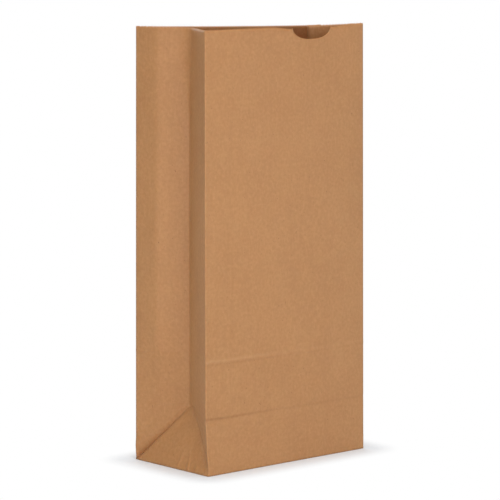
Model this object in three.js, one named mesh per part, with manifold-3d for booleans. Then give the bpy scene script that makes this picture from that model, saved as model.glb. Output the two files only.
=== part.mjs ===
// Brown paper lunch bag: a self-opening sack that is folded and glued from one sheet of kraft paper.
// Millimetres, +Z up. The origin is the middle of the base, on the surface that the bag stands on.
// The front panel with the thumb notch faces -Y, the rear panel with the lap seam faces +Y.
// The gussets are at -X and +X. The bag stands open: its mouth gapes wide at -X and less at +X.
import * as THREE from 'three';
import { mergeVertices } from 'three/addons/utils/BufferGeometryUtils.js';
import Module from 'manifold-3d';

const wasm = await Module();
wasm.setup();

// The sheet and the tube folded from it
const bagHeight = 270;
const bagWidth = 130;
const bagDepth = 70;
const paper = 0.1;
const gussetEase = 1.2;
const gussetHalf = bagDepth / 2 + gussetEase;
const lapWidth = 14;

// The creases left by the flat-packed base: a valley at half the depth and a ridge near the full depth
const creaseHeight = bagDepth / 2;
const ridgeDrop = 1.4;
const ridgeHeight = bagDepth - ridgeDrop;
const ridgeRise = 0.3;
const ridgeHalfWidth = 1.6;

// How the opened bag stands
const frontLean = 2.4;
const frontBow = 1.2;
const rearBow = 9;
const apexInset = 15.8;
const apexRise = 2;
const rearLean = 2.4;
const mouthGapLeft = bagDepth - frontLean - rearLean;
const mouthGapRight = 36;

// The pinked mouth, and the smooth thumb notch with its shallow shoulders in the front panel
const toothPitch = 1.9;
const toothDepth = 0.9;
const notchCentre = 85.7;
const notchWidth = 33;
const notchDepth = 8.5;
const notchPower = 2.4;
const notchSamples = 20;
const shoulderDepth = 1.5;
const shoulderReach = 18;

// The glued base: end flaps inside, then the rear flap, then the front flap lowest
const flapOverlap = 8;
const foldRadius = 0.5;

// Fineness of the mesh
const sideColumns = 5;
const gussetColumns = 4;
const upperRows = 5;
const rimBand = 12;
const weldReach = 1e-3;

// Middle surface of the paper, half a ply inside the outer sizes
const halfWidth = (bagWidth - paper) / 2;
const halfDepth = (bagDepth - paper) / 2;
const baseLevel = 2.5 * paper;

// Level 0 is the base edge, 1 the lower crease and 2 the mouth
function levelOf(height) {
  if (height <= creaseHeight) return height / creaseHeight;
  return 1 + (height - creaseHeight) / (bagHeight - creaseHeight);
}

function heightOf(level) {
  if (level <= 1) return level * creaseHeight;
  return creaseHeight + (level - 1) * (bagHeight - creaseHeight);
}

// A fold leans by dx and dy and keeps its own length, because paper doesn't stretch
function climb(foot, dx, dy, length) {
  const rise = Math.sqrt(length ** 2 - dx ** 2 - dy ** 2);
  return foot.clone().add(new THREE.Vector3(dx, dy, rise));
}

function between(start, end, share) {
  return start.clone().lerp(end, share);
}

// Corner folds: the front panel leans in up to the lower crease and stands upright above it
const frontMouthY = -halfDepth + frontLean;

function frontCorner(side, level) {
  const foot = new THREE.Vector3(side * halfWidth, -halfDepth, baseLevel);
  const crease = climb(foot, 0, frontLean, creaseHeight);
  if (level <= 1) return between(foot, crease, level);
  const mouth = climb(crease, 0, 0, bagHeight - creaseHeight);
  return between(crease, mouth, level - 1);
}

// The rear panel is straight from base to mouth, and its bow draws its corners together
const rearChord = bagWidth - (8 / 3) * rearBow ** 2 / bagWidth;
const rearMouthLeft = new THREE.Vector2(-halfWidth, frontMouthY + mouthGapLeft);
const rearSkew = mouthGapLeft - mouthGapRight;
const rearMouthRight = new THREE.Vector2(
  -halfWidth + Math.sqrt(rearChord ** 2 - rearSkew ** 2),
  frontMouthY + mouthGapRight
);

function rearCorner(side, level) {
  const foot = new THREE.Vector3(side * halfWidth, halfDepth, baseLevel);
  const mouthSpot = side < 0 ? rearMouthLeft : rearMouthRight;
  const mouth = climb(foot, mouthSpot.x - foot.x, mouthSpot.y - foot.y, bagHeight);
  return between(foot, mouth, heightOf(level) / bagHeight);
}

// The centre fold of a gusset sits as far in as the two halves reach between the corners
function foldInset(side, level) {
  const gap = frontCorner(side, level).distanceTo(rearCorner(side, level));
  return Math.sqrt(gussetHalf ** 2 - (gap / 2) ** 2);
}

function apexOf(side) {
  return new THREE.Vector3(side * (halfWidth - apexInset), 0, baseLevel + creaseHeight + apexRise);
}

function centreFold(side, level) {
  const baseMiddle = new THREE.Vector3(side * halfWidth, 0, baseLevel);
  if (level <= 1) return between(baseMiddle, apexOf(side), level);
  const settle = (2 - level) ** 3;
  const extra = (apexInset - foldInset(side, 1)) * settle;
  const spot = between(frontCorner(side, level), rearCorner(side, level), 0.5);
  spot.x -= side * (foldInset(side, level) + extra);
  spot.z += apexRise * (2 - level);
  return spot;
}

// Half a gusset, by its share of the way from the corner fold to the centre fold.
// Below the crease a diagonal fold parts the base triangle from the side of the gusset.
function gussetHalfPoint(corner, side, share, level) {
  if (level > 1) return between(corner(side, level), centreFold(side, level), share);
  const foot = corner(side, 0);
  const apex = apexOf(side);
  if (level >= share) {
    const crease = corner(side, 1);
    return foot.clone()
      .addScaledVector(crease.clone().sub(foot), level - share)
      .addScaledVector(apex.sub(foot), share);
  }
  const baseMiddle = centreFold(side, 0);
  return foot.clone()
    .addScaledVector(baseMiddle.clone().sub(foot), share)
    .addScaledVector(apex.sub(baseMiddle), level);
}

// How far the upper crease stands out of the front panel
function ridgeAt(height) {
  const away = Math.abs(height - ridgeHeight);
  return away < ridgeHalfWidth ? ridgeRise * (1 - away / ridgeHalfWidth) : 0;
}

function frontPoint(share, level) {
  const point = between(frontCorner(-1, level), frontCorner(1, level), share);
  const swell = Math.sin(Math.PI * Math.min(1, heightOf(level) / bagHeight));
  point.y -= frontBow * swell * 4 * share * (1 - share);
  point.y -= ridgeAt(heightOf(level));
  return point;
}

function rearPoint(share, level) {
  const point = between(rearCorner(1, level), rearCorner(-1, level), share);
  const opened = (heightOf(level) / bagHeight) ** 2;
  point.y -= rearBow * opened * 4 * share * (1 - share);
  return point;
}

// The cut edge: teeth all round, and the notch in the front panel
function teethAt(along, length) {
  const teeth = Math.round(length / toothPitch);
  const phase = (along / length) * teeth % 1;
  return toothDepth * (1 - Math.abs(2 * phase - 1));
}

function notchAt(along) {
  const away = Math.abs(along - notchCentre);
  const half = notchWidth / 2;
  if (away < half) {
    const cut = notchDepth * (1 - (away / half) ** notchPower) ** (1 / notchPower);
    return Math.max(cut, shoulderDepth);
  }
  const fade = Math.min(1, (away - half) / shoulderReach);
  return shoulderDepth * (1 + Math.cos(Math.PI * fade)) / 2;
}

function frontEdge(along) {
  const inNotch = Math.abs(along - notchCentre) <= notchWidth / 2;
  const teeth = inNotch ? 0 : teethAt(along, bagWidth);
  return bagHeight - notchAt(along) - teeth;
}

// Columns of the front and rear panels, with one column as wide as the lap seam in the middle
const lapStart = (bagWidth - lapWidth) / 2;
const panelColumns = [];
for (let i = 0; i <= sideColumns; i++) panelColumns.push(lapStart * i / sideColumns);
for (let i = 0; i <= sideColumns; i++) panelColumns.push(bagWidth - lapStart * (1 - i / sideColumns));

const halfColumns = [];
for (let i = 0; i <= gussetColumns; i++) halfColumns.push(gussetHalf * i / gussetColumns);

// The panels in turn round the bag, anticlockwise from above
const panels = [
  { length: bagWidth, columns: panelColumns, edge: frontEdge, point: frontPoint, fall: false },
  gussetPanel(1, frontCorner, false),
  gussetPanel(1, rearCorner, true),
  { length: bagWidth, columns: panelColumns, edge: pinkedEdge(bagWidth), point: rearPoint, fall: false },
  gussetPanel(-1, rearCorner, false),
  gussetPanel(-1, frontCorner, true)
];
const rearPanel = panels[3];

function pinkedEdge(length) {
  return (along) => bagHeight - teethAt(along, length);
}

// A half that falls starts at the centre fold and ends at the corner
function gussetPanel(side, corner, fall) {
  const point = (share, level) => gussetHalfPoint(corner, side, fall ? 1 - share : share, level);
  return { length: gussetHalf, columns: halfColumns, edge: pinkedEdge(gussetHalf), point, fall };
}

// Rows of the mesh up to the band below the cut edge
const rowLevels = [];
for (let i = 0; i <= gussetColumns; i++) rowLevels.push(i / gussetColumns);
for (const height of [ridgeHeight - ridgeHalfWidth, ridgeHeight, ridgeHeight + ridgeHalfWidth]) {
  rowLevels.push(levelOf(height));
}
const bandStart = bagHeight - rimBand;
const plainStart = ridgeHeight + ridgeHalfWidth;
for (let i = 1; i <= upperRows; i++) {
  rowLevels.push(levelOf(plainStart + (bandStart - plainStart) * i / upperRows));
}

function addTriangle(list, a, b, c) {
  list.push(...a.toArray(), ...b.toArray(), ...c.toArray());
}

function addCell(list, corners, fall) {
  const [a, b, c, d] = corners;
  if (fall) {
    addTriangle(list, a, b, d);
    addTriangle(list, b, c, d);
  } else {
    addTriangle(list, a, b, c);
    addTriangle(list, a, c, d);
  }
}

// Places along the cut edge that need a point of their own: tooth tips, tooth roots and the notch
function edgePlaces(panel) {
  const places = new Set(panel.columns);
  const steps = 2 * Math.round(panel.length / toothPitch);
  const notched = panel.edge === frontEdge;
  for (let i = 0; i <= steps; i++) {
    const along = panel.length * i / steps;
    const cutAway = notched && Math.abs(along - notchCentre) < notchWidth / 2 + toothPitch / 8;
    if (!cutAway) places.add(along);
  }
  if (notched) {
    for (let i = 0; i <= notchSamples; i++) {
      places.add(notchCentre - notchWidth / 2 * Math.cos(Math.PI * i / notchSamples));
    }
  }
  return [...places].sort((first, second) => first - second);
}

// The middle surface of one panel from one column to another
function addPanel(list, panel, firstColumn, lastColumn) {
  const places = edgePlaces(panel);
  for (let i = firstColumn; i < lastColumn; i++) {
    const left = panel.columns[i];
    const right = panel.columns[i + 1];
    for (let j = 0; j + 1 < rowLevels.length; j++) {
      addCell(list, [
        panel.point(left / panel.length, rowLevels[j]),
        panel.point(right / panel.length, rowLevels[j]),
        panel.point(right / panel.length, rowLevels[j + 1]),
        panel.point(left / panel.length, rowLevels[j + 1])
      ], panel.fall);
    }
    const outline = [new THREE.Vector2(left, bandStart), new THREE.Vector2(right, bandStart)];
    for (const along of places.filter((place) => place >= left && place <= right).reverse()) {
      outline.push(new THREE.Vector2(along, panel.edge(along)));
    }
    const onPanel = outline.map((spot) => panel.point(spot.x / panel.length, levelOf(spot.y)));
    for (const [a, b, c] of THREE.ShapeUtils.triangulateShape(outline, [])) {
      addTriangle(list, onPanel[a], onPanel[b], onPanel[c]);
    }
  }
}

// The flat floor of the bag, on the feet of the panels' columns
function addFloor(list) {
  const across = panelColumns.map((along) => frontPoint(along / bagWidth, 0).x);
  const deepAt = (corner, i) => gussetHalfPoint(corner, 1, i / gussetColumns, 0).y;
  const deep = [];
  for (let i = 0; i <= gussetColumns; i++) deep.push(deepAt(frontCorner, i));
  for (let i = gussetColumns - 1; i >= 0; i--) deep.push(deepAt(rearCorner, i));
  for (let i = 0; i + 1 < across.length; i++) {
    for (let j = 0; j + 1 < deep.length; j++) {
      addCell(list, [
        new THREE.Vector3(across[i], deep[j], baseLevel),
        new THREE.Vector3(across[i], deep[j + 1], baseLevel),
        new THREE.Vector3(across[i + 1], deep[j + 1], baseLevel),
        new THREE.Vector3(across[i + 1], deep[j], baseLevel)
      ], false);
    }
  }
}

function weld(positions) {
  const geometry = new THREE.BufferGeometry();
  geometry.setAttribute('position', new THREE.Float32BufferAttribute(positions, 3));
  return mergeVertices(geometry, weldReach);
}

// Offset direction of each vertex, lengthened at a fold so that both plies keep their thickness
function mitres(points, index) {
  const sums = points.map(() => new THREE.Vector3());
  const faces = points.map(() => []);
  for (let i = 0; i < index.length; i += 3) {
    const corners = [index[i], index[i + 1], index[i + 2]];
    const [a, b, c] = corners.map((corner) => points[corner]);
    const normal = b.clone().sub(a).cross(c.clone().sub(a)).normalize();
    corners.forEach((corner, k) => {
      const next = points[corners[(k + 1) % 3]].clone().sub(points[corner]);
      const last = points[corners[(k + 2) % 3]].clone().sub(points[corner]);
      const angle = next.angleTo(last);
      sums[corner].addScaledVector(normal, angle);
      faces[corner].push({ normal, angle });
    });
  }
  return sums.map((sum, i) => {
    const mean = sum.clone().normalize();
    const total = faces[i].reduce((all, face) => all + face.angle, 0);
    const facing = faces[i].reduce((all, face) => all + face.angle * face.normal.dot(mean), 0);
    return mean.multiplyScalar(total / facing);
  });
}

// A closed sheet between two offsets from a middle surface, outward positive
function sheet(positions, inner, outer) {
  const middle = weld(positions);
  const index = [...middle.index.array];
  const points = [];
  for (let i = 0; i < middle.attributes.position.count; i++) {
    points.push(new THREE.Vector3().fromBufferAttribute(middle.attributes.position, i));
  }
  const directions = mitres(points, index);
  const count = points.length;
  const vertices = [outer, inner].flatMap((offset) =>
    points.flatMap((point, i) => point.clone().addScaledVector(directions[i], offset).toArray()));
  const triangles = [];
  const edges = new Set();
  for (let i = 0; i < index.length; i += 3) {
    const [a, b, c] = [index[i], index[i + 1], index[i + 2]];
    triangles.push(a, b, c, count + a, count + c, count + b);
    for (const [start, end] of [[a, b], [b, c], [c, a]]) edges.add(`${start} ${end}`);
  }
  for (const edge of edges) {
    const [start, end] = edge.split(' ').map(Number);
    if (edges.has(`${end} ${start}`)) continue;
    triangles.push(end, start, count + start, end, count + start, count + end);
  }
  return toSolid(new Float32Array(vertices), new Uint32Array(triangles));
}

function toSolid(vertProperties, triVerts) {
  return new wasm.Manifold(new wasm.Mesh({ numProp: 3, vertProperties, triVerts }));
}

// A flat flap of the base, between two levels
function flap(outline, bottom, top) {
  const options = { depth: top - bottom, bevelEnabled: false };
  const geometry = new THREE.ExtrudeGeometry(new THREE.Shape(outline), options);
  geometry.translate(0, 0, bottom);
  geometry.deleteAttribute('normal');
  geometry.deleteAttribute('uv');
  const merged = mergeVertices(geometry, weldReach);
  return toSolid(new Float32Array(merged.attributes.position.array), new Uint32Array(merged.index.array));
}

// The pinked end of a flap: points from start to end, with the teeth cut toward the flap's root
function pinked(start, end, root) {
  const steps = 2 * Math.round(start.distanceTo(end) / toothPitch);
  const points = [];
  for (let i = 0; i <= steps; i++) {
    const point = start.clone().lerp(end, i / steps);
    points.push(i % 2 ? point.addScaledVector(root, toothDepth) : point);
  }
  return points;
}

// Front and rear flaps: trapezoids with 45 degree sides that meet past the middle of the base
const flapReach = halfDepth - foldRadius + flapOverlap;
const flapRoot = halfWidth - foldRadius;

function longFlap(side, bottom) {
  const rootY = side * (halfDepth - foldRadius);
  const endY = rootY - side * flapReach;
  const start = new THREE.Vector2(side * (flapRoot - flapReach), endY);
  const end = new THREE.Vector2(-side * (flapRoot - flapReach), endY);
  const outline = [
    new THREE.Vector2(-side * flapRoot, rootY),
    new THREE.Vector2(side * flapRoot, rootY),
    ...pinked(start, end, new THREE.Vector2(0, side))
  ];
  return flap(outline, bottom, baseLevel);
}

// End flaps lie on the floor inside the bag
function endFlap(side) {
  const edgeY = halfDepth - foldRadius;
  const endX = side * (flapRoot - flapReach);
  const start = new THREE.Vector2(endX, side * edgeY);
  const end = new THREE.Vector2(endX, -side * edgeY);
  const outline = [
    new THREE.Vector2(side * flapRoot, -side * edgeY),
    new THREE.Vector2(side * flapRoot, side * edgeY),
    ...pinked(start, end, new THREE.Vector2(side, 0))
  ];
  return flap(outline, baseLevel, baseLevel + 1.5 * paper);
}

const walls = [];
for (const panel of panels) addPanel(walls, panel, 0, panel.columns.length - 1);
addFloor(walls);

const lap = [];
addPanel(lap, rearPanel, sideColumns, sideColumns + 1);

const bag = sheet(walls, -paper / 2, paper / 2)
  .add(sheet(lap, 0, 1.5 * paper))
  .add(longFlap(1, paper))
  .add(longFlap(-1, 0))
  .add(endFlap(-1))
  .add(endFlap(1));

const kraft = new THREE.MeshStandardMaterial({
  color: 0xb78b60,
  roughness: 0.9,
  metalness: 0,
  flatShading: true
});

function toMesh(solid, name, material) {
  const { vertProperties, triVerts } = solid.getMesh();
  const geometry = new THREE.BufferGeometry();
  geometry.setAttribute('position', new THREE.BufferAttribute(vertProperties, 3));
  geometry.setIndex(new THREE.BufferAttribute(triVerts, 1));
  geometry.computeVertexNormals();
  const mesh = new THREE.Mesh(geometry, material);
  mesh.name = name;
  return mesh;
}

const group = new THREE.Group();
group.add(toMesh(bag, 'paper_bag', kraft));

export default group;
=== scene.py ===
import math
import bpy
import bmesh
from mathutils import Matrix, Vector, noise


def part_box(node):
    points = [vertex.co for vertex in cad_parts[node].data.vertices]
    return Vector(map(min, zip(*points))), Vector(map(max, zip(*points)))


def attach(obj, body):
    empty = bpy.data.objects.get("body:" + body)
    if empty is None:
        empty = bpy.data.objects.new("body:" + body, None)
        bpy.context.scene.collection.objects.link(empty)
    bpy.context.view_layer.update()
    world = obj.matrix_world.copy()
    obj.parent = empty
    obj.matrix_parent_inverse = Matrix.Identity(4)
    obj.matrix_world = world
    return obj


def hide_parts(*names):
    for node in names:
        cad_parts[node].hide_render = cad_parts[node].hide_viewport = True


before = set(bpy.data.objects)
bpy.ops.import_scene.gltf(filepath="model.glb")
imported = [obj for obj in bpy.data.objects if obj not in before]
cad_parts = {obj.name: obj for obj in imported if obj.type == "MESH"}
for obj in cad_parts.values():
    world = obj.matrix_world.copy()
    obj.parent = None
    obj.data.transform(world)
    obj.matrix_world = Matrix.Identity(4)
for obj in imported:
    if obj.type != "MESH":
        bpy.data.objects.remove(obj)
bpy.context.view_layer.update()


# The tube: one sheet of brown kraft paper folded round into a front panel, a rear panel and two
# gussets, and cut off by a pinking knife. It was stored flat, with its base pressed against the
# front panel, and has been opened by hand, wider at the gusset on the left.
low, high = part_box("paper_bag")
paper = 0.0001
bag_width = round(high[0] - low[0], 3)
bag_depth = round(high[1] - low[1], 3)
bag_height = round(high[2] - low[2], 3)
half_width = (bag_width - paper) / 2
half_depth = (bag_depth - paper) / 2
base_level = 2.5 * paper

crease_height = bag_depth / 2
ridge_height = bag_depth - 0.0014
gusset_half = bag_depth / 2 + 0.0012
front_lean = 0.0024
crease_lean = {-1: 0.0024, 1: 0.0003}
rear_lean = 0.0024
mouth_gap_right = 0.0335
apex_inset = 0.0158
apex_rise = 0.002
front_bow = 0.0012
rear_bow = 0.009


def rise_of(length, dx, dy):
    return math.sqrt(length ** 2 - dx ** 2 - dy ** 2)


def ease(value):
    """Goes smoothly from 0 to 1."""
    value = min(1.0, max(0.0, value))
    return value * value * (3 - 2 * value)


def hump(away, reach):
    """A smooth hump: 1 in the middle, 0 where it ends."""
    return 1 - ease(abs(away) / reach)


front_mouth_y = -half_depth + front_lean
mouth_gap_left = bag_depth - front_lean - rear_lean
rear_chord = bag_width - 8 / 3 * rear_bow ** 2 / bag_width
rear_skew = mouth_gap_left - mouth_gap_right
rear_mouth = {
    -1: (-half_width, front_mouth_y + mouth_gap_left),
    1: (-half_width + math.sqrt(rear_chord ** 2 - rear_skew ** 2), front_mouth_y + mouth_gap_right),
}


def front_corner(side, height):
    foot = Vector((side * half_width, -half_depth, base_level))
    lean = crease_lean[side]
    crease = foot + Vector((0, lean, rise_of(crease_height, 0, lean)))
    if height <= crease_height:
        return foot.lerp(crease, height / crease_height)
    above = (height - crease_height) / (bag_height - crease_height)
    return crease + Vector((0, (front_lean - lean) * above, height - crease_height))


def rear_corner(side, height):
    foot = Vector((side * half_width, half_depth, base_level))
    dx = rear_mouth[side][0] - foot.x
    dy = rear_mouth[side][1] - foot.y
    return foot + Vector((dx, dy, rise_of(bag_height, dx, dy))) * (height / bag_height)


def fold_inset(side, height):
    gap = (front_corner(side, height) - rear_corner(side, height)).length
    return math.sqrt(gusset_half ** 2 - (gap / 2) ** 2)


def gusset_apex(side):
    return Vector((side * (half_width - apex_inset), 0, base_level + crease_height + apex_rise))


def centre_fold(side, height):
    middle = Vector((side * half_width, 0, base_level))
    if height <= crease_height:
        return middle.lerp(gusset_apex(side), height / crease_height)
    left = (bag_height - height) / (bag_height - crease_height)
    spot = front_corner(side, height).lerp(rear_corner(side, height), 0.5)
    extra = (apex_inset - fold_inset(side, crease_height)) * left ** 3
    spot.x -= side * (fold_inset(side, height) + extra)
    spot.z += apex_rise * left
    return spot


# The creased paper bulges between its folds and is drawn in sharply along them. The bulge grows
# from the base creases up, and the sharp dip at the centre fold fades out toward the mouth.
rear_swell = 0.0054
front_swell = 0.0004
swell_reach = 0.05
soft_ridge = 0.52
facet_softness = 0.05
cusp_depth = 0.0012
cusp_reach = 0.0013
cusp_end = 0.205
cusp_fade = 0.04
gusset_ridge = 0.00012
gusset_ridge_reach = 0.0016


def bulge_at(share):
    """How much half a gusset bulges: two flat facets that meet at a soft ridge near its middle."""
    rising = share / soft_ridge
    falling = (1 - share) / (1 - soft_ridge)
    return (rising + falling - math.sqrt((rising - falling) ** 2 + facet_softness)) / 2


def upper_gusset_point(side, rear, share, height):
    """Above the base, by the share of the way from the corner fold to the centre fold."""
    corner = rear_corner if rear else front_corner
    point = corner(side, height).lerp(centre_fold(side, height), share)
    opened = ease((height - crease_height) / swell_reach)
    closing = 1 - ease((height - cusp_end) / cusp_fade)
    swell = (rear_swell if rear else front_swell) * bulge_at(share) * opened
    cusp = cusp_depth * math.exp(-gusset_half * (1 - share) / cusp_reach) * opened * closing
    ridge = gusset_ridge * hump(height - ridge_height, gusset_ridge_reach)
    point.x += side * (swell - cusp + ridge)
    return point


# Below, the diagonal fold parts the base triangle from the side of the gusset. At the rear the
# paper hangs over it. At the front it stands up a little and curves, and the triangle is wrinkled.
# A wrinkle has its share at the foot, its share at the top, the level of its top and its rise.
rear_recess = 0.0024
recess_above = 0.0019
recess_below = 0.0008
front_pleat = 0.0005
pleat_above = 0.0009
pleat_below = 0.0018
overhang = 0.0012
overhang_offset = 0.0058
overhang_reach = 0.0045
diagonal_bow = 0.0026
bow_reach = 0.009
wrinkle_reach = 0.0014
wrinkles = [
    (0.57, 0.66, 0.46, 0.0009),
    (0.36, 0.40, 0.30, 0.0006),
    (0.13, 0.10, 0.42, 0.0009),
    (0.86, 0.80, 0.40, 0.0006),
]


def base_folds(side, rear, share, level):
    """How far the folds of the base push a point of half a gusset out or in."""
    off = (level - share) * crease_height / math.sqrt(2)
    travel = (level + share) / 2
    ends = ease(travel / 0.07) * ease((1 - travel) / 0.1)
    if rear:
        reach = recess_above if off > 0 else recess_below
        push = -rear_recess * (1 - 0.6 * travel) * max(0.0, 1 - abs(off) / reach) * ends
        hang = hump(off - overhang_offset, overhang_reach)
        push += overhang * hang * (1 - ease(travel / 0.8)) * ends
    else:
        reach = pleat_above if off > 0 else pleat_below
        push = front_pleat * max(0.0, 1 - abs(off) / reach) * ends
        for foot_share, top_share, top_level, rise in wrinkles:
            line = foot_share + (top_share - foot_share) * level / top_level
            fade = 1 - ease(level / top_level)
            near = max(0.0, 1 - abs(share - line) * gusset_half / wrinkle_reach)
            push += rise * near * fade * ease(level / 0.04)
    bow = 0 if rear else diagonal_bow * math.sin(math.pi * travel) * hump(off, bow_reach)
    return Vector((side * push, -bow, 0))


def lower_gusset_point(side, rear, share, level):
    corner = rear_corner if rear else front_corner
    foot = corner(side, 0)
    apex = gusset_apex(side)
    if level >= share:
        point = foot + (corner(side, crease_height) - foot) * (level - share) + (apex - foot) * share
    else:
        middle = centre_fold(side, 0)
        point = foot + (middle - foot) * share + (apex - middle) * level
    return point + base_folds(side, rear, share, level)


def gusset_point(side, rear, share, height):
    if height > crease_height:
        return upper_gusset_point(side, rear, share, height)
    return lower_gusset_point(side, rear, share, height / crease_height)


# The front panel: a valley crease at half the depth, a ridge near the full depth, a soft crease
# up from the base, and a margin that turns back toward each corner fold
ridge_rise = 0.0005
ridge_above = 0.0022
ridge_below = 0.0014
ridge_up_left = 0.0009
ridge_down_right = 0.0008
groove_depth = 0.0007
groove_above = 0.00092
groove_drop = 0.00092
groove_below = 0.0034
right_bulge = 0.0010
right_top = 0.7
bulge_start = 0.08
margin_reach = 0.030
mouth_curl = 0.0013
curl_start = 0.185
curl_along = 0.07
curl_fade = 0.03
handled_start = 0.19
handled_reach = 0.06
thumb_dent = 0.0006
dent_offset = 0.006
dent_reach = 0.017
thumb_ridge = 0.00045
thumb_ridge_offset = 0.001
thumb_ridge_reach = 0.018
knuckle = 0.0005
knuckle_reach = 0.0026
faint_crease = 0.00012
faint_place = 0.0752
faint_reach = 0.004
faint_length = 0.02


def front_point(share, height):
    point = front_corner(-1, height).lerp(front_corner(1, height), share)
    along = share * bag_width
    bulge = 4 * share * (1 - share)
    point.y -= front_bow * bulge * math.sin(math.pi * min(1, height / bag_height))

    slant = height - ridge_height - ridge_up_left * (1 - share) ** 3 + ridge_down_right * share
    ridge = max(0.0, 1 - slant / ridge_above) if slant > 0 else max(0.0, 1 + slant / ridge_below)
    point.y -= ridge_rise * ridge * (1 - 0.75 * ease((share - 0.4) / 0.4))
    above = height - crease_height + groove_drop
    groove = max(0.0, 1 - above / groove_above) if above > 0 else max(0.0, 1 + above / groove_below)
    point.y += groove_depth * groove * (1 - 0.8 * ease((share - 0.15) / 0.35))
    point.y -= knuckle * hump(math.hypot(along, height - crease_height), knuckle_reach)

    falling = max(0.0, (share - right_top) / (1 - right_top))
    handled = ease((height - handled_start) / handled_reach)
    standing = ease(height / bulge_start) * (1 - handled)
    point.y -= right_bulge * (min(1.0, share / right_top) - falling ** 2) * standing
    near_mouth = ease((height - curl_start) / handled_reach)
    left = min(1.0, along / margin_reach)
    curl_end = 1 - ease((along - curl_along) / curl_fade)
    point.y -= mouth_curl * (1 - (1 - left) ** 2) * near_mouth * curl_end

    # The thumb has pressed the paper in below its notch, and a soft crease runs down from there
    away = math.hypot(along - notch_centre + dent_offset, height - (bag_height - notch_depth))
    point.y += thumb_dent * hump(away, dent_reach)
    off_run = abs(along - notch_centre - thumb_ridge_offset)
    point.y -= thumb_ridge * max(0.0, 1 - off_run / thumb_ridge_reach) * handled

    # A faint crease between the two base creases, a little to the right of the front's middle
    between = hump(height - (crease_height + ridge_height) / 2, faint_length)
    point.y -= faint_crease * max(0.0, 1 - abs(along - faint_place) / faint_reach) * between
    return point


# The rear panel bows inward more and more toward the mouth, and the base crease shows faintly
rear_ridge = 0.00008


def rear_point(share, height):
    point = rear_corner(1, height).lerp(rear_corner(-1, height), share)
    point.y -= rear_bow * (height / bag_height) ** 2 * 4 * share * (1 - share)
    ridge = max(0.0, 1 - abs(height - ridge_height) / ridge_above)
    point.y += rear_ridge * ridge
    return point


# The panels in turn round the bag, anticlockwise from above: the front, the two halves of the
# right gusset, the rear, and the two halves of the left gusset
panel_lengths = [bag_width, gusset_half, gusset_half, bag_width, gusset_half, gusset_half]
outward = [(0, -1, 0), (1, 0, 0), (1, 0, 0), (0, 1, 0), (-1, 0, 0), (-1, 0, 0)]
fold_places = [sum(panel_lengths[:panel]) for panel in range(len(panel_lengths) + 1)]
girth = fold_places[-1]


def panel_at(around):
    """The panel that lies so far round the bag, and the way along it."""
    around %= girth
    for panel, length in enumerate(panel_lengths):
        if around <= fold_places[panel + 1]:
            return panel, around - fold_places[panel]
    return 0, 0.0


def tube_point(around, height):
    panel, along = panel_at(around)
    share = min(1.0, max(0.0, along / panel_lengths[panel]))
    if panel == 0:
        point = front_point(share, height)
    elif panel == 3:
        point = rear_point(share, height)
    else:
        side = 1 if panel < 3 else -1
        rising = panel in (1, 4)
        point = gusset_point(side, panel in (2, 4), share if rising else 1 - share, height)
    return point + Vector(outward[panel]) * ripple(panel, along, height)


# Handling and damp leave the paper a little uneven between its folds
ripple_height = 0.00042
ripple_width = 0.034
ripple_length = 0.062
fine_height = 0.0001
fine_width = 0.013
fine_length = 0.024
calm_reach = 0.012
calm_foot = 0.02


def ripple(panel, along, height):
    spot = Vector((along / ripple_width + 7.3 * panel, height / ripple_length, 1.7 * panel))
    fine = Vector((along / fine_width + 3.1 * panel, height / fine_length, 5.0 + panel))
    off_fold = min(along, panel_lengths[panel] - along)
    calm = ease(off_fold / calm_reach) * ease(height / calm_foot)
    return (ripple_height * noise.noise(spot) + fine_height * noise.noise(fine)) * calm


# Folds have a radius: small along the creases, and wide where the gusset's fold opens at the mouth
fold_radius = 0.0007
open_radius = 0.0055
open_start = 0.195
open_reach = 0.07


def radius_at(fold, height):
    if fold in (2, 5):
        return fold_radius + open_radius * ease((height - open_start) / open_reach)
    return fold_radius


def sheet_point(around, height):
    for fold in range(len(panel_lengths)):
        away = (around - fold_places[fold] + girth / 2) % girth - girth / 2
        radius = radius_at(fold, height)
        if abs(away) < radius:
            start = tube_point(fold_places[fold] - radius, height)
            middle = tube_point(fold_places[fold], height)
            end = tube_point(fold_places[fold] + radius, height)
            turn = (away + radius) / (2 * radius)
            return start.lerp(middle, turn).lerp(middle.lerp(end, turn), turn)
    return tube_point(around, height)


# The cut edge: pinked teeth all round, and the smooth thumb notch with its shallow shoulders
tooth_pitch = 0.0019
tooth_depth = 0.0009
notch_centre = 0.0857
notch_half = 0.0165
notch_depth = 0.0085
notch_power = 2.4
shoulder_depth = 0.0015
shoulder_reach = 0.018


def cut_depth(along):
    """How far the thumb notch and its shoulders reach below the mouth of the front panel."""
    away = abs(along - notch_centre)
    if away < notch_half:
        cut = notch_depth * (1 - (away / notch_half) ** notch_power) ** (1 / notch_power)
        return max(cut, shoulder_depth)
    return shoulder_depth * (1 - ease((away - notch_half) / shoulder_reach))


# The blank has two columns for each tooth, and rows that are close together at the creases
panel_steps = [2 * round(length / tooth_pitch) for length in panel_lengths]
edge_band = 0.014
crease_margin = 0.003
ridge_margin = 0.0024
row_counts = [38, 4, 10, 8, 26, 8]
row_stops = [
    0,
    crease_height,
    crease_height + crease_margin,
    ridge_height - ridge_margin,
    ridge_height + crease_margin,
    bag_height - edge_band,
    bag_height,
]


def row_height(row):
    for stretch, count in enumerate(row_counts):
        if row <= count:
            return row_stops[stretch] + (row_stops[stretch + 1] - row_stops[stretch]) * row / count
        row -= count
    return bag_height


def column_place(column):
    """The panel that a column of the blank falls in, its step there and the way along the panel."""
    for panel, count in enumerate(panel_steps):
        if column <= count:
            return panel, column, panel_lengths[panel] * column / count
        column -= count
    return 0, 0, 0.0


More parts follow.
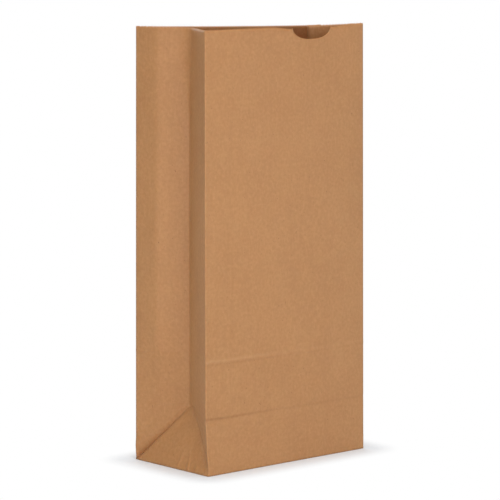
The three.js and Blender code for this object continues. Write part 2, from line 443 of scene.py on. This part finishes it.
def fold_blank(column, row):
    """Where a crossing of the flat blank's columns and rows lies on the folded bag."""
    panel, step, along = column_place(column)
    height = row_height(row)
    reach = (height - (bag_height - edge_band)) / edge_band
    if reach > 0:
        drop = tooth_depth * (step % 2)
        if panel == 0:
            away = abs(along - notch_centre) / notch_half
            if away < 1:
                drop = 0
                spread = math.sin(math.pi / 2 * (along - notch_centre) / notch_half)
                along += (notch_centre + notch_half * spread - along) * reach
            drop += cut_depth(along)
        height -= drop * reach
    return sheet_point(fold_places[panel] + along, height)


columns = sum(panel_steps)
rows = sum(row_counts)
blank = bmesh.new()
bmesh.ops.create_grid(blank, x_segments=columns, y_segments=rows, size=0.5)
for vert in blank.verts:
    vert.co = fold_blank(round((vert.co.x + 0.5) * columns), round((vert.co.y + 0.5) * rows))
bmesh.ops.remove_doubles(blank, verts=blank.verts, dist=paper / 10)

# The floor of the bag closes the foot of the tube
foot = [edge for edge in blank.edges if edge.is_boundary and edge.verts[0].co.z < crease_height / 2]
floor_face = bmesh.ops.edgeloop_fill(blank, edges=foot)["faces"]
bmesh.ops.inset_region(blank, faces=floor_face, thickness=fold_radius, use_even_offset=True)
bmesh.ops.recalc_face_normals(blank, faces=blank.faces)

tube_mesh = bpy.data.meshes.new("bag_tube")
blank.to_mesh(tube_mesh)
blank.free()
tube_mesh.shade_smooth()
bag_tube = bpy.data.objects.new("bag_tube", tube_mesh)
bpy.context.scene.collection.objects.link(bag_tube)

ply = bag_tube.modifiers.new("ply", "SOLIDIFY")
ply.thickness = paper
ply.offset = 0


def kraft_paper():
    """Unbleached kraft: cloudy pulp, fibres that lie along the web, bark specks and a dull face,
    with painted highlight and shade along its creases and base diagonals.
    """
    material = bpy.data.materials.new("kraft_paper")
    material.use_nodes = True
    tree = material.node_tree
    link = tree.links.new
    shader = tree.nodes["Principled BSDF"]
    shader.inputs["Roughness"].default_value = 0.5
    shader.inputs["Specular IOR Level"].default_value = 0.3
    shader.inputs["Subsurface Weight"].default_value = 0.25
    shader.inputs["Subsurface Radius"].default_value = (1.0, 0.5, 0.25)
    shader.inputs["Subsurface Scale"].default_value = 0.0003
    place = tree.nodes.new("ShaderNodeTexCoord")

    def pattern(scale, detail, stretch=(1, 1, 1), roughness=0.55):
        mapping = tree.nodes.new("ShaderNodeMapping")
        mapping.inputs["Scale"].default_value = stretch
        link(place.outputs["Object"], mapping.inputs["Vector"])
        texture = tree.nodes.new("ShaderNodeTexNoise")
        texture.inputs["Scale"].default_value = scale
        texture.inputs["Detail"].default_value = detail
        texture.inputs["Roughness"].default_value = roughness
        link(mapping.outputs["Vector"], texture.inputs["Vector"])
        return texture.outputs["Fac"]

    def span(value, start, end, low_value, high_value):
        node = tree.nodes.new("ShaderNodeMapRange")
        node.inputs["From Min"].default_value = start
        node.inputs["From Max"].default_value = end
        node.inputs["To Min"].default_value = low_value
        node.inputs["To Max"].default_value = high_value
        link(value, node.inputs["Value"])
        return node.outputs["Result"]

    def tinted(colour, tint, amount):
        node = tree.nodes.new("ShaderNodeMix")
        node.data_type = "RGBA"
        link(amount, node.inputs["Factor"])
        if colour is None:
            node.inputs[6].default_value = kraft
        else:
            link(colour, node.inputs[6])
        node.inputs[7].default_value = tint
        return node.outputs[2]

    kraft = (0.505, 0.25, 0.10, 1)
    pulp_dark = (0.43, 0.200, 0.076, 1)
    pulp_light = (0.57, 0.295, 0.126, 1)
    bark = (0.26, 0.11, 0.04, 1)
    # Crease colours, part wear and part painted highlight and painted shade
    crest_wear_and_highlight = (0.64, 0.37, 0.18, 1)
    crease_wear_and_shade = (0.27, 0.115, 0.04, 1)
    # Painted shade for the recess along the base diagonals
    painted_fold_shade = (0.34, 0.12, 0.04, 1)

    haze = pattern(30, 2)
    clouds = pattern(70, 3)
    mottle = pattern(520, 4)
    fibres = pattern(1500, 2, (1, 1, 0.16))
    streaks = pattern(260, 3, (1, 1, 0.05))
    specks = pattern(900, 1, (1, 1, 0.6))

    colour = tinted(None, pulp_dark, span(haze, 0.4, 0.65, 0, 0.22))
    colour = tinted(colour, pulp_dark, span(clouds, 0.35, 0.7, 0, 0.3))
    colour = tinted(colour, pulp_dark, span(mottle, 0.5, 0.72, 0, 0.55))
    colour = tinted(colour, pulp_light, span(mottle, 0.5, 0.28, 0, 0.5))
    colour = tinted(colour, pulp_light, span(fibres, 0.55, 0.75, 0, 0.45))
    colour = tinted(colour, pulp_dark, span(streaks, 0.52, 0.75, 0, 0.25))
    colour = tinted(colour, bark, span(specks, 0.735, 0.80, 0, 0.6))

    # Folding breaks the paper's face, and light and shade are painted onto the creases: a pale line
    # just above the front ridge, part wear and part painted highlight, and dark lines below the
    # ridge and in the valley, part wear and part painted shade
    spot = tree.nodes.new("ShaderNodeSeparateXYZ")
    link(place.outputs["Object"], spot.inputs["Vector"])

    def worked(operation, first, second=None):
        node = tree.nodes.new("ShaderNodeMath")
        node.operation = operation
        for socket, value in zip(node.inputs, (first, second)):
            if isinstance(value, float):
                socket.default_value = value
            elif value is not None:
                link(value, socket)
        return node.outputs[0]

    # These crease lines, part wear and part painted highlight and shade, lie on the front panel
    # alone, and are fainter toward its right
    in_front = span(spot.outputs["Y"], -0.0312, -0.0305, 1, 0)
    to_right = span(spot.outputs["X"], -0.052, 0.0, 1, 0.3)
    crease_patchiness = span(pattern(240, 2), 0.32, 0.6, 0.45, 1)

    def crease_line(level, reach):
        away = worked("ABSOLUTE", worked("SUBTRACT", spot.outputs["Z"], level))
        line = worked("MULTIPLY", span(away, 0.0, reach, 1, 0), in_front)
        return worked("MULTIPLY", worked("MULTIPLY", line, to_right), crease_patchiness)

    crest = crease_line(ridge_height + 0.0013, 0.0017)
    under = crease_line(ridge_height - 0.0008, 0.0012)
    valley = crease_line(crease_height - 0.0006, 0.0013)
    colour = tinted(colour, crest_wear_and_highlight, worked("MULTIPLY", crest, 0.30))
    colour = tinted(colour, crease_wear_and_shade, worked("MULTIPLY", under, 0.10))
    colour = tinted(colour, crease_wear_and_shade, worked("MULTIPLY", valley, 0.42))

    # Painted shade in the recess along the rear diagonal of each base triangle: dark and reddish,
    # most of all at the corner
    apex_slope = (crease_height + apex_rise) / half_depth
    fold_level = worked("MULTIPLY", worked("SUBTRACT", half_depth, spot.outputs["Y"]), apex_slope)
    off_fold = worked("ABSOLUTE", worked("SUBTRACT", spot.outputs["Z"], fold_level))
    apex_x = half_width - apex_inset
    in_gusset = span(worked("ABSOLUTE", spot.outputs["X"]), apex_x - 0.001, apex_x, 0, 1)
    to_corner = span(spot.outputs["Y"], 0.0, half_depth, 0, 1)
    diagonal = worked("MULTIPLY", span(off_fold, 0.0, 0.003, 0.6, 0), in_gusset)
    colour = tinted(colour, painted_fold_shade, worked("MULTIPLY", diagonal, to_corner))
    link(colour, shader.inputs["Base Color"])

    cockle = tree.nodes.new("ShaderNodeBump")
    cockle.inputs["Distance"].default_value = 0.0004
    cockle.inputs["Strength"].default_value = 0.35
    link(pattern(110, 2, (1, 1, 0.55)), cockle.inputs["Height"])
    tooth = tree.nodes.new("ShaderNodeBump")
    tooth.inputs["Distance"].default_value = 0.00006
    tooth.inputs["Strength"].default_value = 0.5
    link(fibres, tooth.inputs["Height"])
    link(cockle.outputs["Normal"], tooth.inputs["Normal"])
    link(tooth.outputs["Normal"], shader.inputs["Normal"])
    return material


kraft_material = kraft_paper()
tube_mesh.materials.append(kraft_material)
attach(bag_tube, "root")
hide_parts("paper_bag")


# The lap seam: the sheet's side edge, glued over its other edge up the middle of the rear panel.
# It is the same paper, one ply proud, and was cut by the same pinking knife at the mouth.
lap_steps = 15
lap_rise = 1.25
lap_fall = 0.2
rear_steps = panel_steps[3]
lap_first = (rear_steps - lap_steps) // 2


def lap_point(column, row):
    step = lap_first + column
    along = bag_width * step / rear_steps
    height = row_height(row)
    reach = max(0.0, (height - (bag_height - edge_band)) / edge_band)
    height -= tooth_depth * (step % 2) * reach
    point = sheet_point(fold_places[3] + along, height)
    point.y += paper * (lap_rise - lap_fall * column / lap_steps)
    return point


seam = bmesh.new()
bmesh.ops.create_grid(seam, x_segments=lap_steps, y_segments=rows, size=0.5)
for vert in seam.verts:
    vert.co = lap_point(round((vert.co.x + 0.5) * lap_steps), round((vert.co.y + 0.5) * rows))
bmesh.ops.recalc_face_normals(seam, faces=seam.faces)
seam_mesh = bpy.data.meshes.new("lap_seam")
seam.to_mesh(seam_mesh)
seam.free()
seam_mesh.shade_smooth()
lap_seam = bpy.data.objects.new("lap_seam", seam_mesh)
bpy.context.scene.collection.objects.link(lap_seam)
seam_ply = lap_seam.modifiers.new("ply", "SOLIDIFY")
seam_ply.thickness = paper
seam_ply.offset = 0
seam_mesh.materials.append(kraft_material)
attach(lap_seam, "root")


# The base: the foot of the tube is folded shut and glued, with the two end flaps inside, then the
# rear flap, and the front flap lowest. Their cut ends carry the teeth of the pinking knife.
flap_overlap = 0.008
flap_reach = half_depth - fold_radius + flap_overlap
flap_root = half_width - fold_radius
flap_rows = (0, 0.008, 0.025, 0.25, 0.5, 0.75, 0.9, 0.96, 1)
hinge_reach = flap_rows[2]


def base_flap(name, root, ends, level, hinge_level):
    """A flap from its root line to its pinked end line, at one level of the glued base."""
    steps = 2 * round((ends[1] - ends[0]).length / tooth_pitch)
    last_row = len(flap_rows) - 1
    flap = bmesh.new()
    bmesh.ops.create_grid(flap, x_segments=steps, y_segments=last_row, size=0.5)
    inward = ((root[0] + root[1]) / 2 - (ends[0] + ends[1]) / 2).normalized()
    for vert in flap.verts:
        column = round((vert.co.x + 0.5) * steps)
        row = round((vert.co.y + 0.5) * last_row)
        out = flap_rows[row]
        start = root[0].lerp(root[1], column / steps)
        end = ends[0].lerp(ends[1], column / steps)
        spot = start.lerp(end, out)
        spot += inward * (tooth_depth * (column % 2) * (1 if row == last_row else 0))
        drop = 1 - ease(out / hinge_reach)
        vert.co = (spot.x, spot.y, level + (hinge_level - level) * drop)
    bmesh.ops.recalc_face_normals(flap, faces=flap.faces)
    mesh = bpy.data.meshes.new(name)
    flap.to_mesh(mesh)
    flap.free()
    mesh.shade_smooth()
    piece = bpy.data.objects.new(name, mesh)
    bpy.context.scene.collection.objects.link(piece)
    flap_ply = piece.modifiers.new("ply", "SOLIDIFY")
    flap_ply.thickness = paper
    flap_ply.offset = 0
    mesh.materials.append(kraft_material)
    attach(piece, "root")


for name, side, level in (("rear_flap", 1, 1.5 * paper), ("front_flap", -1, 0.5 * paper)):
    root_y = side * (half_depth - paper)
    end_y = root_y - side * flap_reach
    narrow = flap_root - flap_reach
    base_flap(
        name,
        (Vector((-flap_root, root_y, 0)), Vector((flap_root, root_y, 0))),
        (Vector((-narrow, end_y, 0)), Vector((narrow, end_y, 0))),
        level,
        base_level,
    )

for name, side in (("left_flap", -1), ("right_flap", 1)):
    root_x = side * (flap_root - fold_radius)
    end_x = side * (flap_root - flap_reach)
    edge_y = half_depth - 2 * fold_radius
    base_flap(
        name,
        (Vector((root_x, -edge_y, 0)), Vector((root_x, edge_y, 0))),
        (Vector((end_x, -edge_y, 0)), Vector((end_x, edge_y, 0))),
        base_level + paper,
        base_level + paper,
    )


# The floor that the bag stands on: a wide pale sheet that keeps the bag's shadow. Round the bag
# it is lit like the bag, with a little lift, and further off it is plain white to the camera.
stage_mesh = bpy.data.meshes.new("floor")
sheet = bmesh.new()
bmesh.ops.create_grid(sheet, x_segments=1, y_segments=1, size=20)
sheet.to_mesh(stage_mesh)
sheet.free()
stage = bpy.data.objects.new("floor", stage_mesh)
bpy.context.scene.collection.objects.link(stage)


def white_floor():
    material = bpy.data.materials.new("white_floor")
    material.use_nodes = True
    tree = material.node_tree
    link = tree.links.new
    shader = tree.nodes["Principled BSDF"]
    shader.inputs["Base Color"].default_value = (0.74, 0.77, 0.80, 1)
    shader.inputs["Roughness"].default_value = 0.9
    shader.inputs["Specular IOR Level"].default_value = 0.1
    ray = tree.nodes.new("ShaderNodeLightPath")
    seen = tree.nodes.new("ShaderNodeMath")
    seen.operation = "MAXIMUM"
    link(ray.outputs["Is Camera Ray"], seen.inputs[0])
    link(ray.outputs["Is Glossy Ray"], seen.inputs[1])
    through = tree.nodes.new("ShaderNodeMath")
    through.operation = "MAXIMUM"
    link(seen.outputs[0], through.inputs[0])
    link(ray.outputs["Is Transmission Ray"], through.inputs[1])

    lift = tree.nodes.new("ShaderNodeEmission")
    lift.inputs["Strength"].default_value = 0.14
    none = tree.nodes.new("ShaderNodeEmission")
    none.inputs["Strength"].default_value = 0
    lifted = tree.nodes.new("ShaderNodeMixShader")
    link(through.outputs[0], lifted.inputs[0])
    link(none.outputs[0], lifted.inputs[1])
    link(lift.outputs[0], lifted.inputs[2])
    shaded = tree.nodes.new("ShaderNodeAddShader")
    link(shader.outputs[0], shaded.inputs[0])
    link(lifted.outputs[0], shaded.inputs[1])

    # How far a place on the floor is from the foot of the bag
    white = tree.nodes.new("ShaderNodeEmission")
    place = tree.nodes.new("ShaderNodeTexCoord")
    mirrored = tree.nodes.new("ShaderNodeVectorMath")
    mirrored.operation = "ABSOLUTE"
    link(place.outputs["Object"], mirrored.inputs[0])
    beyond = tree.nodes.new("ShaderNodeVectorMath")
    beyond.operation = "SUBTRACT"
    beyond.inputs[1].default_value = (half_width, half_depth, 0)
    link(mirrored.outputs["Vector"], beyond.inputs[0])
    outside = tree.nodes.new("ShaderNodeVectorMath")
    outside.operation = "MAXIMUM"
    outside.inputs[1].default_value = (0, 0, 0)
    link(beyond.outputs["Vector"], outside.inputs[0])
    away = tree.nodes.new("ShaderNodeVectorMath")
    away.operation = "LENGTH"
    link(outside.outputs["Vector"], away.inputs[0])
    fade = tree.nodes.new("ShaderNodeMapRange")
    fade.interpolation_type = "SMOOTHSTEP"
    fade.inputs["From Min"].default_value = 0.002
    fade.inputs["From Max"].default_value = 0.024
    link(away.outputs["Value"], fade.inputs["Value"])
    far = tree.nodes.new("ShaderNodeMath")
    far.operation = "MULTIPLY"
    link(fade.outputs["Result"], far.inputs[0])
    link(through.outputs[0], far.inputs[1])
    whole = tree.nodes.new("ShaderNodeMixShader")
    link(far.outputs[0], whole.inputs[0])
    link(shaded.outputs[0], whole.inputs[1])
    link(white.outputs[0], whole.inputs[2])
    link(whole.outputs[0], tree.nodes["Material Output"].inputs["Surface"])
    return material


stage_mesh.materials.append(white_floor())


# Soft studio light: a dim pale room, small panels near the bag in front and on the left, larger
# ones further off, one overhead that lights the inside, and one behind
world = bpy.data.worlds.new("studio")
bpy.context.scene.world = world
world.use_nodes = True
world.node_tree.nodes["Background"].inputs["Color"].default_value = (1, 1, 1, 1)
world.node_tree.nodes["Background"].inputs["Strength"].default_value = 0.15


def soft_panel(name, location, size, power):
    data = bpy.data.lights.new(name, "AREA")
    data.size = size
    data.energy = power
    lamp = bpy.data.objects.new(name, data)
    bpy.context.scene.collection.objects.link(lamp)
    lamp.location = location
    aim = Vector((0, 0, bag_height / 2)) - Vector(location)
    lamp.rotation_euler = aim.to_track_quat("-Z", "Y").to_euler()


soft_panel("key_panel", (-0.42, -0.95, 1.15), 0.5, 4.4)
soft_panel("front_panel", (-0.16, -0.62, 0.08), 0.25, 0.56)
soft_panel("side_panel", (-0.62, -0.06, 0.08), 0.25, 0.38)
soft_panel("left_panel", (-0.72, -0.62, 0.16), 0.5, 3.2)
soft_panel("low_panel", (0.90, -1.10, 0.12), 0.5, 2.8)
soft_panel("top_panel", (0.0, 0.0, 1.5), 0.9, 13)
soft_panel("back_panel", (0.35, 1.10, 0.35), 0.6, 4)


# The camera stands to the front and left of the bag, a little above it, with a long lens
view_azimuth = math.radians(41.37)
view_distance = 1.712
view_height = 0.357
view_pitch = math.radians(7.569)
view_turn = math.radians(-0.015)
focal_pixels = 2768
frame_pixels = 500

camera_data = bpy.data.cameras.new("camera")
camera_data.sensor_width = 36
camera_data.lens = focal_pixels / frame_pixels * camera_data.sensor_width
camera = bpy.data.objects.new("camera", camera_data)
bpy.context.scene.collection.objects.link(camera)
camera.location = (
    -math.sin(view_azimuth) * view_distance,
    -math.cos(view_azimuth) * view_distance,
    view_height,
)
camera.rotation_euler = (math.radians(90) - view_pitch, 0, -(view_azimuth + view_turn))
bpy.context.scene.camera = camera
bpy.context.scene.view_settings.view_transform = "Standard"
